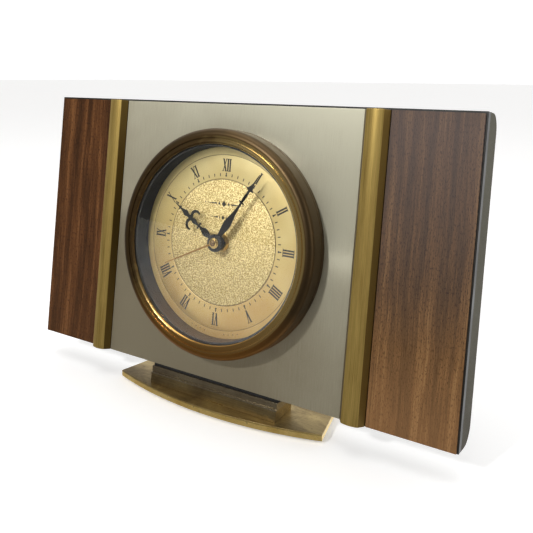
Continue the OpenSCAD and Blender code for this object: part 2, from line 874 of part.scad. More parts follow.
module foot_screws() {
    color("#8c8c88") for (x = [-foot_screw_x, foot_screw_x])
        translate([x, foot_screw_y, felt_t]) difference() {
            union() {
                cylinder(h = head_z + 12 - felt_t, r = foot_screw_r);
                cylinder(h = 1.6, r1 = 3.15, r2 = foot_screw_r);
            }
            translate([-3.5, -0.4, -e]) cube([7, 0.8, 0.6]);
        }
}

module foot_felt() {
    color("#1d2a1f") linear_extrude(felt_t) foot_outline(1.5);
}

front_board();
veneer_left();
veneer_right();
centre_panel();
strip_left();
strip_right();
rear_case();
corner_blocks();
base_block();
case_screws();
dial_pan();
pan_screws();
spacer_ring();
glass_gasket();
glass();
bezel();
dial();
dial_washer();
dial_nut();
hour_hand();
minute_hand();
minute_collet();
second_hand();
second_cap();
movement_front();
movement_back();
movement_screws();
hour_wheel();
minute_pipe();
centre_wheel();
motion_wheel();
set_knob();
third_wheel();
seconds_wheel();
intermediate_wheel();
rotor_pinion();
rotor_magnet();
stator();
coil_core();
coil_bobbin();
coil_winding();
circuit_board();
chip();
quartz_crystal();
contact_plus();
contact_minus();
battery();
foot_plate();
riser_bar();
riser_packing();
foot_screws();
foot_felt();
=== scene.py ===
import bpy, bmesh, json, math
from mathutils import Matrix, Vector


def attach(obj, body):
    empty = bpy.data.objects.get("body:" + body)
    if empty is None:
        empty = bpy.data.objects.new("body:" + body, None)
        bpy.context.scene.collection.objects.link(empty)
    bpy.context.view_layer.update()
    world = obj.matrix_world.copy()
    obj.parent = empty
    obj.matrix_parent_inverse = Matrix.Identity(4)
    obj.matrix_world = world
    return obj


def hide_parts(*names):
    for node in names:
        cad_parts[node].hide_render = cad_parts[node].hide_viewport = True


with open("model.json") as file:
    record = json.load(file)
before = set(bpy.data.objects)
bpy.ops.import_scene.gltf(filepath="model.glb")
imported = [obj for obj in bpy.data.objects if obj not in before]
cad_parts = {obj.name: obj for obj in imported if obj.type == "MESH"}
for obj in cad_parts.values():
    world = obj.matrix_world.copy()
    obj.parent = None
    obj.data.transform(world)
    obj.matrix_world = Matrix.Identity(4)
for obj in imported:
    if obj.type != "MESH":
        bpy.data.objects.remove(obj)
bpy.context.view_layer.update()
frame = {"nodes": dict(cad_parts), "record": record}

record = frame["record"]
joints = {joint["name"]: joint for joint in record["behaviour"]["joints"]}
shaft = joints["minute_spin"]
axis = Vector(shaft["axis"])
lean = math.atan2(-axis.z, axis.y)  # how far the head leans back
shaftSpot = Vector(shaft["pos_m"])  # the hand shaft where it meets the face
onHead = Matrix.Translation(shaftSpot) @ Matrix.Rotation(-lean, 4, "X") @ Matrix.Scale(0.001, 4)
slotOf = {part["node"]: part["material_slot"] for part in record["subparts"]}
bodyOf = {node: body for body, nodes in record["behaviour"]["bodies"].items() for node in nodes}
view = bpy.context.scene.view_settings
view.view_transform = "Standard"  # a white floor stays white

# node helpers; patterns are in millimetres

def newFinish(name, viewColour):
    material = bpy.data.materials.new(name)
    material.use_nodes = True
    material.diffuse_color = (*viewColour, 1)
    material.node_tree.nodes.clear()
    out = material.node_tree.nodes.new("ShaderNodeOutputMaterial")
    shader = material.node_tree.nodes.new("ShaderNodeBsdfPrincipled")
    material.node_tree.links.new(shader.outputs[0], out.inputs[0])
    return material, shader


def plug(material, value, socket):  # a socket is linked, anything else is set
    if isinstance(value, bpy.types.NodeSocket):
        material.node_tree.links.new(value, socket)
    elif socket.type == "RGBA":
        socket.default_value = (*value[:3], 1)
    else:
        socket.default_value = value


def add(material, kind, inputs=None, output=0, **settings):
    node = material.node_tree.nodes.new("ShaderNode" + kind)
    for key, value in settings.items():
        setattr(node, key, value)
    for key, value in (inputs or {}).items():
        plug(material, value, node.inputs[key])
    return node.outputs[output]


def calc(material, operation, a, b=0.0, clamp=False):
    return add(material, "Math", {0: a, 1: b}, operation=operation, use_clamp=clamp)


def between(material, value, low, high, toLow=0.0, toHigh=1.0):
    return add(material, "MapRange", {"Value": value, "From Min": low, "From Max": high,
                                      "To Min": toLow, "To Max": toHigh}, clamp=True)


def mixed(material, amount, a, b, how="MIX"):
    node = material.node_tree.nodes.new("ShaderNodeMix")
    node.data_type = "RGBA"
    node.blend_type = how
    plug(material, amount, node.inputs[0])
    plug(material, a, node.inputs[6])
    plug(material, b, node.inputs[7])
    return node.outputs[2]


def shades(material, value, stops):
    node = material.node_tree.nodes.new("ShaderNodeValToRGB")
    ramp = node.color_ramp
    while len(ramp.elements) < len(stops):
        ramp.elements.new(0.5)
    for element, (place, colour) in zip(ramp.elements, stops):
        element.position = place
        element.color = (*colour, 1)
    plug(material, value, node.inputs[0])
    return node.outputs[0]


def headPlace(material):  # x, y, z about the hand shaft, in mm
    spot = add(material, "TexCoord", output=3)
    return add(material, "Mapping", {"Vector": spot, "Location": shaftSpot, "Rotation": (-lean, 0, 0),
                                     "Scale": (0.001, 0.001, 0.001)}, vector_type="TEXTURE")


def rowPlace(material):
    return add(material, "Mapping", {"Vector": add(material, "TexCoord", output=3),
                                     "Scale": (1000, 1000, 1000)})


def stretch(material, spot, scale, shift=(0, 0, 0), turn=(0, 0, 0)):
    return add(material, "Mapping", {"Vector": spot, "Scale": scale, "Location": shift, "Rotation": turn})


def noise(material, spot, scale=1.0, detail=3.0, rough=0.5, twist=0.0):
    return add(material, "TexNoise", {"Vector": spot, "Scale": scale, "Detail": detail,
                                      "Roughness": rough, "Distortion": twist})


def part(material, spot, letter):
    return add(material, "SeparateXYZ", {0: spot}, output="XYZ".index(letter))


def bump(material, height, depth, strength=1.0):  # depth in mm
    return add(material, "Bump", {"Height": height, "Distance": depth * 0.001, "Strength": strength})

# mesh helpers; shapes are in millimetres

def newPiece(name, points, faces, place=onHead):
    mesh = bpy.data.meshes.new(name)
    mesh.from_pydata([place @ Vector(p) for p in points], [], faces)
    return wrapMesh(name, mesh)


def wrapMesh(name, mesh, weld=True):
    shape = bmesh.new()
    shape.from_mesh(mesh)
    if weld:
        bmesh.ops.remove_doubles(shape, verts=shape.verts, dist=2e-7)
    bmesh.ops.recalc_face_normals(shape, faces=shape.faces)
    shape.to_mesh(mesh)
    shape.free()
    mesh.shade_smooth()
    mesh.set_sharp_from_angle(angle=math.radians(32))
    piece = bpy.data.objects.new(name, mesh)
    bpy.context.scene.collection.objects.link(piece)
    return piece


def turned(outline, steps=200):  # outline is a closed loop of radius and height in front of the face
    points, faces, rings = [], [], []
    for r, f in outline:
        if r < 1e-6:
            rings.append([len(points)] * steps)
            points.append((0, -f, 0))
        else:
            rings.append(list(range(len(points), len(points) + steps)))
            points += [(r * math.cos(i * math.tau / steps), -f, r * math.sin(i * math.tau / steps))
                       for i in range(steps)]
    for a, b in zip(rings, rings[1:] + rings[:1]):
        for i in range(steps):
            j = (i + 1) % steps
            loop = [a[i], a[j], b[j], b[i]]
            loop = [v for k, v in enumerate(loop) if v != loop[k - 1]]
            if len(set(loop)) > 2:
                faces.append(loop)
    return points, faces


def slab(outline, y0, y1, points=None, faces=None):  # a front-view outline given thickness
    points = [] if points is None else points
    faces = [] if faces is None else faces
    start, count = len(points), len(outline)
    points += [(x, y0, z) for x, z in outline] + [(x, y1, z) for x, z in outline]
    front = list(range(start, start + count))
    faces.append(front)
    faces.append([i + count for i in reversed(front)])
    for i in range(count):
        j = (i + 1) % count
        faces.append([start + i, start + count + i, start + count + j, start + j])
    return points, faces


def eased(piece, width, segments=3, angle=35):  # a small round on every edge
    piece.data.shade_smooth()
    bevel = piece.modifiers.new("eased edges", "BEVEL")
    bevel.width = width * 0.001
    bevel.segments = segments
    bevel.limit_method = "ANGLE"
    bevel.angle_limit = math.radians(angle)
    bevel.use_clamp_overlap = True
    bevel.harden_normals = True
    return piece


def fromNode(node, name):  # a welded copy of a CAD node, with flat faces made whole
    mesh = frame["nodes"][node].data.copy()
    mesh.materials.clear()
    mesh.name = name
    shape = bmesh.new()
    shape.from_mesh(mesh)
    bmesh.ops.remove_doubles(shape, verts=shape.verts, dist=1e-6)
    bmesh.ops.dissolve_limit(shape, angle_limit=math.radians(0.4), verts=shape.verts, edges=shape.edges)
    shape.to_mesh(mesh)
    shape.free()
    for attribute in [a.name for a in mesh.attributes if a.name == "custom_normal"]:
        mesh.attributes.remove(mesh.attributes[attribute])
    piece = bpy.data.objects.new(name, mesh)
    bpy.context.scene.collection.objects.link(piece)
    return piece


def stands(piece, node, material, also=()):  # the piece is shown for this node and moves with it
    piece.data.materials.append(material)
    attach(piece, bodyOf[node])
    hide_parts(node, *also)
    return piece


def joins(piece, body, material):  # an added detail
    piece.data.materials.append(material)
    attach(piece, body)
    return piece


def dress(node, material):
    slots = frame["nodes"][node].material_slots
    for one in slots:
        one.material = material

# finishes

def metalFinish(name, dark, light, rough=(0.25, 0.5), metallic=1.0, grain=(0.05, 0.05, 0.05), scratch=0.004,
                place=headPlace, blotch=0.12):
    material, shader = newFinish(name, light)
    spot = place(material)
    cloud = noise(material, spot, blotch, 5, 0.6, 0.4)
    lines = noise(material, stretch(material, spot, grain), 1, 4, 0.65)
    tone = calc(material, "ADD", calc(material, "MULTIPLY", cloud, 0.75), calc(material, "MULTIPLY", lines, 0.25))
    plug(material, shades(material, tone, [(0.36, dark), (0.62, light)]), shader.inputs["Base Color"])
    plug(material, between(material, tone, 0.35, 0.65, rough[1], rough[0]), shader.inputs["Roughness"])
    plug(material, bump(material, lines, scratch), shader.inputs["Normal"])
    shader.inputs["Metallic"].default_value = metallic
    return material


def plasticFinish(name, dark, light, rough=0.5, place=headPlace, speck=2.2, depth=0.02):
    material, shader = newFinish(name, light)
    spot = place(material)
    fine = noise(material, spot, speck, 3, 0.6)
    cloud = noise(material, spot, 0.08, 3, 0.5)
    plug(material, shades(material, calc(material, "MULTIPLY", calc(material, "ADD", fine, cloud), 0.5),
                          [(0.35, dark), (0.65, light)]), shader.inputs["Base Color"])
    plug(material, between(material, cloud, 0.3, 0.7, rough * 0.8, rough * 1.2), shader.inputs["Roughness"])
    plug(material, bump(material, fine, depth), shader.inputs["Normal"])
    return material


veneerLook = {"streakWidth": 0.22, "streakLength": 0.008, "poreLength": 0.22, "bump": 0.05,
              "darkest": (0.02, 0.010, 0.005), "dark": (0.062, 0.034, 0.018),
              "middle": (0.15, 0.078, 0.034), "light": (0.3, 0.18, 0.085)}


def veneerFinish(name, shift, tint, paintedSheen, warm):
    look = veneerLook
    material, shader = newFinish(name, look["middle"])
    spot = headPlace(material)
    sway = noise(material, stretch(material, spot, (0.02, 0.02, 0.02), shift), 1, 2, 0.5)
    acrossX = calc(material, "ADD", part(material, spot, "X"), calc(material, "MULTIPLY", sway, 3.5))
    swayed = add(material, "CombineXYZ", {0: acrossX, 1: part(material, spot, "Y"), 2: part(material, spot, "Z")})
    bands = noise(material, stretch(material, swayed, (look["streakWidth"], 0.05, look["streakLength"]), shift),
                  1, 6, 0.62, 0.35)
    fibres = noise(material, stretch(material, swayed, (1.9, 0.3, 0.045), shift), 1, 5, 0.7)
    hairs = noise(material, stretch(material, swayed, (5.5, 0.5, 0.16), shift), 1, 3, 0.6)
    pores = noise(material, stretch(material, swayed, (2.6, 1.0, 0.75), shift), 1, 2, 0.6)
    tone = calc(material, "ADD", calc(material, "MULTIPLY", bands, 0.62), calc(material, "MULTIPLY", fibres, 0.38))
    colour = shades(material, tone, [(0.37, look["darkest"]), (0.46, look["dark"]), (0.53, look["middle"]),
                                     (0.62, look["light"])])
    colour = mixed(material, between(material, hairs, 0.35, 0.7, 0.0, 0.35), colour, look["light"])
    hole = between(material, pores, 0.54, 0.64)
    colour = mixed(material, calc(material, "MULTIPLY", hole, 0.8), colour, (0.022, 0.012, 0.007))
    colour = mixed(material, 1.0, colour, tint, "MULTIPLY")
    height = part(material, spot, "Z")
    colour = mixed(material, between(material, height, -5, -58, 0.0, warm), colour, (0.5, 0.26, 0.11))
    # painted reflection: a grey sheen is laid over the upper part of the veneer
    colour = mixed(material, between(material, height, -30, 55, 0.0, paintedSheen), colour, (0.15, 0.13, 0.13))
    plug(material, colour, shader.inputs["Base Color"])
    plug(material, between(material, tone, 0.35, 0.65, 0.62, 0.5), shader.inputs["Roughness"])
    dips = calc(material, "SUBTRACT", fibres, calc(material, "MULTIPLY", hole, 0.8))
    plug(material, bump(material, dips, look["bump"]), shader.inputs["Normal"])
    shader.inputs["Specular IOR Level"].default_value = 0.07
    return material


panelLook = {"dark": (0.42, 0.37, 0.26), "light": (0.7, 0.68, 0.53), "lineDepth": 0.012}


def panelFinish():
    material, shader = newFinish("champagneSheet", panelLook["light"])
    spot = headPlace(material)
    lines = noise(material, stretch(material, spot, (3.4, 1, 0.09)), 1, 5, 0.75)
    cross = noise(material, stretch(material, spot, (0.9, 1, 2.4)), 1, 3, 0.6)
    cloud = noise(material, spot, 0.03, 3, 0.5)
    # painted light: the sheet is made lighter towards the top and the right, with random cloudy tone added to it
    paintedLightSweep = calc(material, "ADD", calc(material, "MULTIPLY", part(material, spot, "Z"), 0.0052),
                 calc(material, "MULTIPLY", part(material, spot, "X"), 0.003))
    tone = calc(material, "ADD", paintedLightSweep, calc(material, "MULTIPLY", cloud, 0.55))
    tone = calc(material, "ADD", tone, calc(material, "MULTIPLY", calc(material, "SUBTRACT", lines, 0.5), 0.42))
    tone = calc(material, "ADD", tone, calc(material, "MULTIPLY", calc(material, "SUBTRACT", cross, 0.5), 0.16))
    plug(material, shades(material, tone, [(0.0, panelLook["dark"]), (0.62, panelLook["light"])]),
         shader.inputs["Base Color"])
    plug(material, between(material, lines, 0.3, 0.7, 0.5, 0.36), shader.inputs["Roughness"])
    plug(material, bump(material, calc(material, "ADD", lines, calc(material, "MULTIPLY", cross, 0.4)),
                        panelLook["lineDepth"]), shader.inputs["Normal"])
    shader.inputs["Metallic"].default_value = 0.7
    shader.inputs["Anisotropic"].default_value = 0.4
    return material


stripLook = {"dark": (0.34, 0.22, 0.055), "light": (0.72, 0.52, 0.16), "edge": (0.16, 0.1, 0.022)}


def stripFinish():
    material, shader = newFinish("stripBrass", stripLook["light"])
    spot = headPlace(material)
    lines = noise(material, stretch(material, spot, (5.0, 1, 0.03)), 1, 4, 0.7)
    cloud = noise(material, stretch(material, spot, (0.3, 0.3, 0.03)), 1, 4, 0.6)
    tone = calc(material, "ADD", calc(material, "MULTIPLY", lines, 0.55), calc(material, "MULTIPLY", cloud, 0.45))
    colour = shades(material, tone, [(0.36, stripLook["dark"]), (0.6, stripLook["light"])])
    deep = between(material, part(material, spot, "Y"), -3.15, -2.9)  # painted shade: the sloping sides get the darker edge colour, the face keeps the brass
    colour = mixed(material, deep, colour, stripLook["edge"])
    plug(material, colour, shader.inputs["Base Color"])
    plug(material, between(material, tone, 0.35, 0.6, 0.42, 0.28), shader.inputs["Roughness"])
    plug(material, bump(material, lines, 0.01), shader.inputs["Normal"])
    shader.inputs["Metallic"].default_value = 0.8
    return material


bezelLook = {"dark": (0.1, 0.068, 0.036), "middle": (0.15, 0.095, 0.04), "brass": (0.8, 0.6, 0.25),
             "orange": (0.5, 0.23, 0.05)}


def bezelFinish():
    material, shader = newFinish("agedBrass", bezelLook["brass"])
    spot = headPlace(material)
    flat = add(material, "CombineXYZ", {0: part(material, spot, "X"), 2: part(material, spot, "Z")})
    radius = add(material, "VectorMath", {0: flat}, output=1, operation="LENGTH")
    ringLines = noise(material, add(material, "CombineXYZ", {0: radius, 1: part(material, spot, "Y")}), 3.2, 3, 0.6)
    cloud = noise(material, spot, 0.11, 5, 0.6, 0.5)
    height = calc(material, "SUBTRACT", 0.0, part(material, spot, "Y"))
    polishAndHighlight = between(material, radius, 48.7, 47.6)  # the inner front lip is kept bright and the barrel dark, partly polish and partly painted highlight and painted shade
    polishAndHighlight = calc(material, "MULTIPLY", polishAndHighlight, between(material, height, 7.5, 10.4))
    # painted highlight: brighter towards the right and the bottom, painted shade towards the top and the left
    highlightSide = calc(material, "SUBTRACT", calc(material, "MULTIPLY", part(material, spot, "X"), 0.9),
                 calc(material, "MULTIPLY", part(material, spot, "Z"), 0.5))
    polishAndHighlight = calc(material, "MULTIPLY", polishAndHighlight, between(material, highlightSide, -34, 12, 0.3, 1.0))
    tone = calc(material, "ADD", calc(material, "MULTIPLY", polishAndHighlight, 0.62), calc(material, "MULTIPLY", cloud, 0.3))
    tone = calc(material, "ADD", tone, calc(material, "MULTIPLY", ringLines, 0.12))
    colour = shades(material, tone, [(0.14, bezelLook["dark"]), (0.42, bezelLook["middle"]),
                                     (0.78, bezelLook["brass"])])
    low = between(material, part(material, spot, "Z"), -22, -46)
    colour = mixed(material, calc(material, "MULTIPLY", low, 0.75), colour, bezelLook["orange"])
    plug(material, colour, shader.inputs["Base Color"])
    plug(material, between(material, tone, 0.2, 0.8, 0.42, 0.2), shader.inputs["Roughness"])
    plug(material, bump(material, calc(material, "ADD", ringLines, cloud), 0.01), shader.inputs["Normal"])
    shader.inputs["Metallic"].default_value = 1.0
    return material


dialLook = {"field": (0.54, 0.4, 0.155), "fieldDark": (0.27, 0.185, 0.06), "rim": (0.56, 0.425, 0.175),
            "rimDark": (0.42, 0.27, 0.095), "fieldLight": (0.8, 0.66, 0.34), "rimLight": (0.66, 0.54, 0.26),
            "pebble": 1.75, "circle": 28.6}


def dialFinish():
    material, shader = newFinish("goldLacquer", dialLook["rim"])
    spot = headPlace(material)
    flat = add(material, "CombineXYZ", {0: part(material, spot, "X"), 2: part(material, spot, "Z")})
    radius = add(material, "VectorMath", {0: flat}, output=1, operation="LENGTH")
    inside = between(material, radius, dialLook["circle"] - 0.1, dialLook["circle"] - 0.3)
    grit = noise(material, flat, dialLook["pebble"], 3, 0.65, 0.3)
    cells = add(material, "TexVoronoi", {"Vector": flat, "Scale": 1.9}, feature="F1")
    grain = calc(material, "ADD", calc(material, "MULTIPLY", grit, 0.7), calc(material, "MULTIPLY", cells, 0.3))
    pebble = shades(material, grain, [(0.41, dialLook["fieldDark"]), (0.5, dialLook["field"]),
                                      (0.58, dialLook["fieldLight"])])
    soft = noise(material, flat, 0.05, 2, 0.5)
    # painted light: the satin rim is lighter towards the top and darker towards the bottom, mixed with random soft
    # tone
    paintedLightSweep = calc(material, "ADD", calc(material, "MULTIPLY", part(material, spot, "Z"), 0.011),
                 calc(material, "MULTIPLY", soft, 0.9))
    satin = shades(material, paintedLightSweep, [(0.0, dialLook["rimDark"]), (0.55, dialLook["rim"]),
                                     (0.95, dialLook["rimLight"])])
    # painted shade: the pebbled field is darkened towards the bottom
    pebble = mixed(material, between(material, part(material, spot, "Z"), 20, -30, 0.0, 0.3), pebble,
                   dialLook["fieldDark"])
    plug(material, mixed(material, inside, satin, pebble), shader.inputs["Base Color"])
    plug(material, between(material, inside, 0, 1, 0.36, 0.5), shader.inputs["Roughness"])
    plug(material, bump(material, calc(material, "MULTIPLY", grain, inside), 0.3), shader.inputs["Normal"])
    shader.inputs["Metallic"].default_value = 0.55
    return material


def lensFinish():
    material = bpy.data.materials.new("clearLens")
    material.use_nodes = True
    material.diffuse_color = (0.9, 0.95, 0.95, 0.2)
    nodes, links = material.node_tree.nodes, material.node_tree.links
    nodes.clear()
    out = nodes.new("ShaderNodeOutputMaterial")
    shader = nodes.new("ShaderNodeBsdfPrincipled")
    shader.inputs["Transmission Weight"].default_value = 1.0
    shader.inputs["IOR"].default_value = 1.42
    spot = headPlace(material)
    smear = noise(material, spot, 0.06, 3, 0.5)
    plug(material, mixed(material, smear, (0.97, 0.985, 0.975), (0.99, 1.0, 0.995)), shader.inputs["Base Color"])
    shader.inputs["Roughness"].default_value = 0.0
    clear = nodes.new("ShaderNodeBsdfTransparent")
    path = nodes.new("ShaderNodeLightPath")
    mix = nodes.new("ShaderNodeMixShader")
    links.new(path.outputs["Is Shadow Ray"], mix.inputs[0])
    links.new(shader.outputs[0], mix.inputs[1])
    links.new(clear.outputs[0], mix.inputs[2])
    links.new(mix.outputs[0], out.inputs[0])
    return material


def wallFinish():
    material, shader = newFinish("navyWall", (0.02, 0.025, 0.035))
    spot = headPlace(material)
    cloud = noise(material, spot, 0.25, 4, 0.6)
    low = between(material, part(material, spot, "Z"), -14, -40)
    dark = mixed(material, cloud, (0.004, 0.005, 0.007), (0.02, 0.025, 0.032))
    brown = mixed(material, cloud, (0.05, 0.028, 0.014), (0.12, 0.08, 0.045))
    plug(material, mixed(material, low, dark, brown), shader.inputs["Base Color"])
    plug(material, between(material, cloud, 0.3, 0.7, 0.7, 0.85), shader.inputs["Roughness"])
    plug(material, bump(material, cloud, 0.02), shader.inputs["Normal"])
    shader.inputs["Specular IOR Level"].default_value = 0.12
    return material


def caseFinish():
    material, shader = newFinish("oliveLacquer", (0.2, 0.2, 0.15))
    spot = headPlace(material)
    cloud = noise(material, spot, 0.05, 4, 0.6)
    fine = noise(material, spot, 1.6, 3, 0.6)
    # painted shade: the case side is darker towards the bottom and lighter towards the top
    rise = between(material, part(material, spot, "Z"), -63, 63)
    colour = mixed(material, rise, (0.045, 0.037, 0.019), (0.075, 0.07, 0.044))
    colour = mixed(material, between(material, cloud, 0.35, 0.7, 0.0, 0.3), colour, (0.13, 0.125, 0.09))
    back = between(material, part(material, spot, "Y"), 15.0, 15.7)
    colour = mixed(material, calc(material, "MULTIPLY", back, 0.45), colour, (0.05, 0.05, 0.042))
    plug(material, colour, shader.inputs["Base Color"])
    plug(material, between(material, fine, 0.3, 0.7, 0.5, 0.65), shader.inputs["Roughness"])
    plug(material, bump(material, fine, 0.03), shader.inputs["Normal"])
    shader.inputs["Specular IOR Level"].default_value = 0.1
    return material


def footFinish():
    material, shader = newFinish("footBrass", (0.6, 0.42, 0.14))
    spot = rowPlace(material)
    cloud = noise(material, stretch(material, spot, (0.05, 0.09, 0.09)), 1, 5, 0.62, 0.6)
    lines = noise(material, stretch(material, spot, (0.06, 2.6, 2.6)), 1, 4, 0.65)
    spots = noise(material, spot, 0.55, 3, 0.6)
    top = between(material, part(material, spot, "Z"), 2.9, 3.75)  # the top is tarnished darker; the edge gets a brighter brass colour, part polish and part painted highlight
    tone = calc(material, "ADD", calc(material, "MULTIPLY", cloud, 0.7), calc(material, "MULTIPLY", lines, 0.3))
    worn = shades(material, tone, [(0.34, (0.12, 0.08, 0.03)), (0.5, (0.24, 0.17, 0.065)),
                                   (0.66, (0.44, 0.33, 0.13))])
    bright = shades(material, tone, [(0.34, (0.62, 0.4, 0.09)), (0.62, (0.95, 0.72, 0.28))])
    colour = mixed(material, top, bright, worn)
    colour = mixed(material, between(material, spots, 0.62, 0.72, 0.0, 0.6), colour, (0.09, 0.045, 0.015))
    plug(material, colour, shader.inputs["Base Color"])
    plug(material, between(material, tone, 0.35, 0.65, 0.5, 0.3), shader.inputs["Roughness"])
    plug(material, bump(material, lines, 0.008), shader.inputs["Normal"])
    shader.inputs["Metallic"].default_value = 0.75
    return material


def riserFinish():
    material, shader = newFinish("riserBronze", (0.3, 0.2, 0.08))
    spot = rowPlace(material)
    tilted = stretch(material, spot, (1, 1, 1), turn=(lean, 0, 0))
    lines = noise(material, stretch(material, tilted, (0.05, 2, 2)), 1, 4, 0.65)
    cloud = noise(material, spot, 0.09, 4, 0.6)
    level = part(material, spot, "Z")
    low = between(material, level, 8.6, 8.3)
    tone = calc(material, "ADD", calc(material, "MULTIPLY", cloud, 0.6), calc(material, "MULTIPLY", lines, 0.4))
    upper = shades(material, tone, [(0.36, (0.24, 0.19, 0.13)), (0.62, (0.5, 0.43, 0.3))])
    lower = shades(material, tone, [(0.36, (0.22, 0.16, 0.08)), (0.6, (0.5, 0.39, 0.2))])
    plug(material, mixed(material, low, upper, lower), shader.inputs["Base Color"])
    plug(material, between(material, tone, 0.35, 0.65, 0.4, 0.25), shader.inputs["Roughness"])
    plug(material, bump(material, lines, 0.008), shader.inputs["Normal"])
    shader.inputs["Metallic"].default_value = 1.0
    return material


def feltFinish():
    material, shader = newFinish("greenFelt", (0.03, 0.06, 0.035))
    spot = rowPlace(material)
    fluff = noise(material, spot, 2.4, 5, 0.75, 0.8)
    plug(material, shades(material, fluff, [(0.3, (0.008, 0.02, 0.011)), (0.7, (0.045, 0.09, 0.05))]),
         shader.inputs["Base Color"])
    shader.inputs["Roughness"].default_value = 0.95
    shader.inputs["Sheen Weight"].default_value = 0.4
    plug(material, bump(material, fluff, 0.12), shader.inputs["Normal"])
    return material


finish = {
    "board_black": plasticFinish("blackLacquer", (0.006, 0.006, 0.005), (0.022, 0.02, 0.016), 0.42, speck=0.9),
    "champagne_sheet": panelFinish(), "strip_brass": stripFinish(), "bezel_brass": bezelFinish(),
    "foot_brass": footFinish(), "bronze": riserFinish(), "case_grey": caseFinish(), "lens": lensFinish(),
    "dial_gold": dialFinish(), "felt_green": feltFinish(), "wall": wallFinish(),
    "pine": plasticFinish("rawPine", (0.34, 0.2, 0.09), (0.6, 0.41, 0.22), 0.7, speck=0.7),
    "bright_steel": metalFinish("zincPlate", (0.36, 0.36, 0.35), (0.62, 0.62, 0.6), (0.24, 0.42)),
    "pan_steel": metalFinish("pressedSteel", (0.3, 0.31, 0.3), (0.5, 0.51, 0.5), (0.35, 0.55)),
    "black_plastic": plasticFinish("mouldedBlack", (0.009, 0.0095, 0.011), (0.028, 0.029, 0.032), 0.45),
    "cream_plastic": plasticFinish("mouldedCream", (0.55, 0.51, 0.4), (0.78, 0.74, 0.63), 0.4),
    "black_rubber": plasticFinish("softBlack", (0.006, 0.006, 0.006), (0.02, 0.02, 0.02), 0.7),
    "hand_black": plasticFinish("blackEnamel", (0.003, 0.003, 0.003), (0.012, 0.012, 0.012), 0.3, depth=0.006),
    "hand_gold": metalFinish("giltWire", (0.2, 0.1, 0.03), (0.42, 0.24, 0.08), (0.25, 0.4)),
    "wheel_brass": metalFinish("stampedBrass", (0.4, 0.26, 0.08), (0.72, 0.53, 0.22), (0.22, 0.4)),
    "coil_copper": metalFinish("enamelCopper", (0.3, 0.09, 0.03), (0.6, 0.24, 0.09), (0.3, 0.45), grain=(6, .3, .3)),
    "board_laminate": plasticFinish("brownLaminate", (0.17, 0.1, 0.035), (0.3, 0.2, 0.08), 0.5),
    "magnet_grey": plasticFinish("sinteredGrey", (0.05, 0.05, 0.055), (0.12, 0.12, 0.13), 0.55),
    "cell_jacket": plasticFinish("cellSleeve", (0.018, 0.02, 0.026), (0.05, 0.055, 0.065), 0.3, speck=0.6),
}
veneerLeft = veneerFinish("walnutLeft", (0, 0, 0), (0.64, 0.46, 0.34), 0.0, 0.02)
veneerRight = veneerFinish("walnutRight", (37, 5, 11), (0.74, 0.68, 0.58), 0.5, 0.24)
finish["walnut_veneer"] = veneerLeft
print("finishes ready", len(bpy.data.materials))

# face and case

frontLook = {"front_board": 0.35, "veneer_left": 0.22, "veneer_right": 0.22, "centre_panel": 0.16,
             "rear_case": 0.45, "riser_bar": 0.18, "riser_packing": 0.25, "base_block": 0.2,
             "corner_blocks": 0.3}
for node, round_ in frontLook.items():
    piece = eased(fromNode(node, node + "_eased"), round_, 3)
    slot = slotOf[node]
    material = {"veneer_left": veneerLeft, "veneer_right": veneerRight}.get(node) or finish[slot]
    stands(piece, node, material)
print("face and case eased", len(frontLook))

stripShape = {"base": 0.35, "shoulder": 3.2, "crown": 3.9, "slope": 1.8, "steps": 8}


def stripOutline(x0, x1, rear):  # sloping sides and a slightly rounded front, seen from the end
    look = stripShape
    left, right = x0 + look["slope"], x1 - look["slope"]
    crown = [(left + (right - left) * i / look["steps"],
              -look["shoulder"] - (look["crown"] - look["shoulder"]) * math.sin(math.pi * i / look["steps"]))
             for i in range(look["steps"] + 1)]
    return [(x0, rear), (x0, -look["base"]), *crown, (x1, -look["base"]), (x1, rear)]


for node in ("strip_left", "strip_right"):
    spots = [onHead.inverted() @ v.co for v in frame["nodes"][node].data.vertices]
    low, high = ([pick(spot[i] for spot in spots) for i in range(3)] for pick in (min, max))
    outline = stripOutline(low[0], high[0], high[1])
    count = len(outline)
    points = [(x, y, z) for z in (low[2], high[2]) for x, y in outline]
    faces = [list(range(count)), list(range(2 * count - 1, count - 1, -1))]
    faces += [[i, (i + 1) % count, count + (i + 1) % count, count + i] for i in range(count)]
    stands(eased(newPiece(node + "_eased", points, faces), 0.2, 3), node, finish["strip_brass"])

footLook = {"edge": 1.45, "segments": 6}
plate = eased(fromNode("foot_plate", "foot_plate_eased"), footLook["edge"], footLook["segments"], 50)
stands(plate, "foot_plate", finish["foot_brass"])

# bezel, glass and dial

insertLook = {"dial": 44.0, "skirt": 45.0, "rise": 1.2, "room": 8.0, "outer": 51.2, "roll": 3.0, "dome": 1.5}
size = insertLook
glassAt = size["rise"] + size["room"]
lipAt = glassAt + 1.1
frontAt = lipAt + 1.1
skirt = size["skirt"]


def arc(r, f, radius, start, end, steps):
    return [(r + radius * math.cos(math.radians(start + (end - start) * i / steps)),
             f + radius * math.sin(math.radians(start + (end - start) * i / steps))) for i in range(steps + 1)]


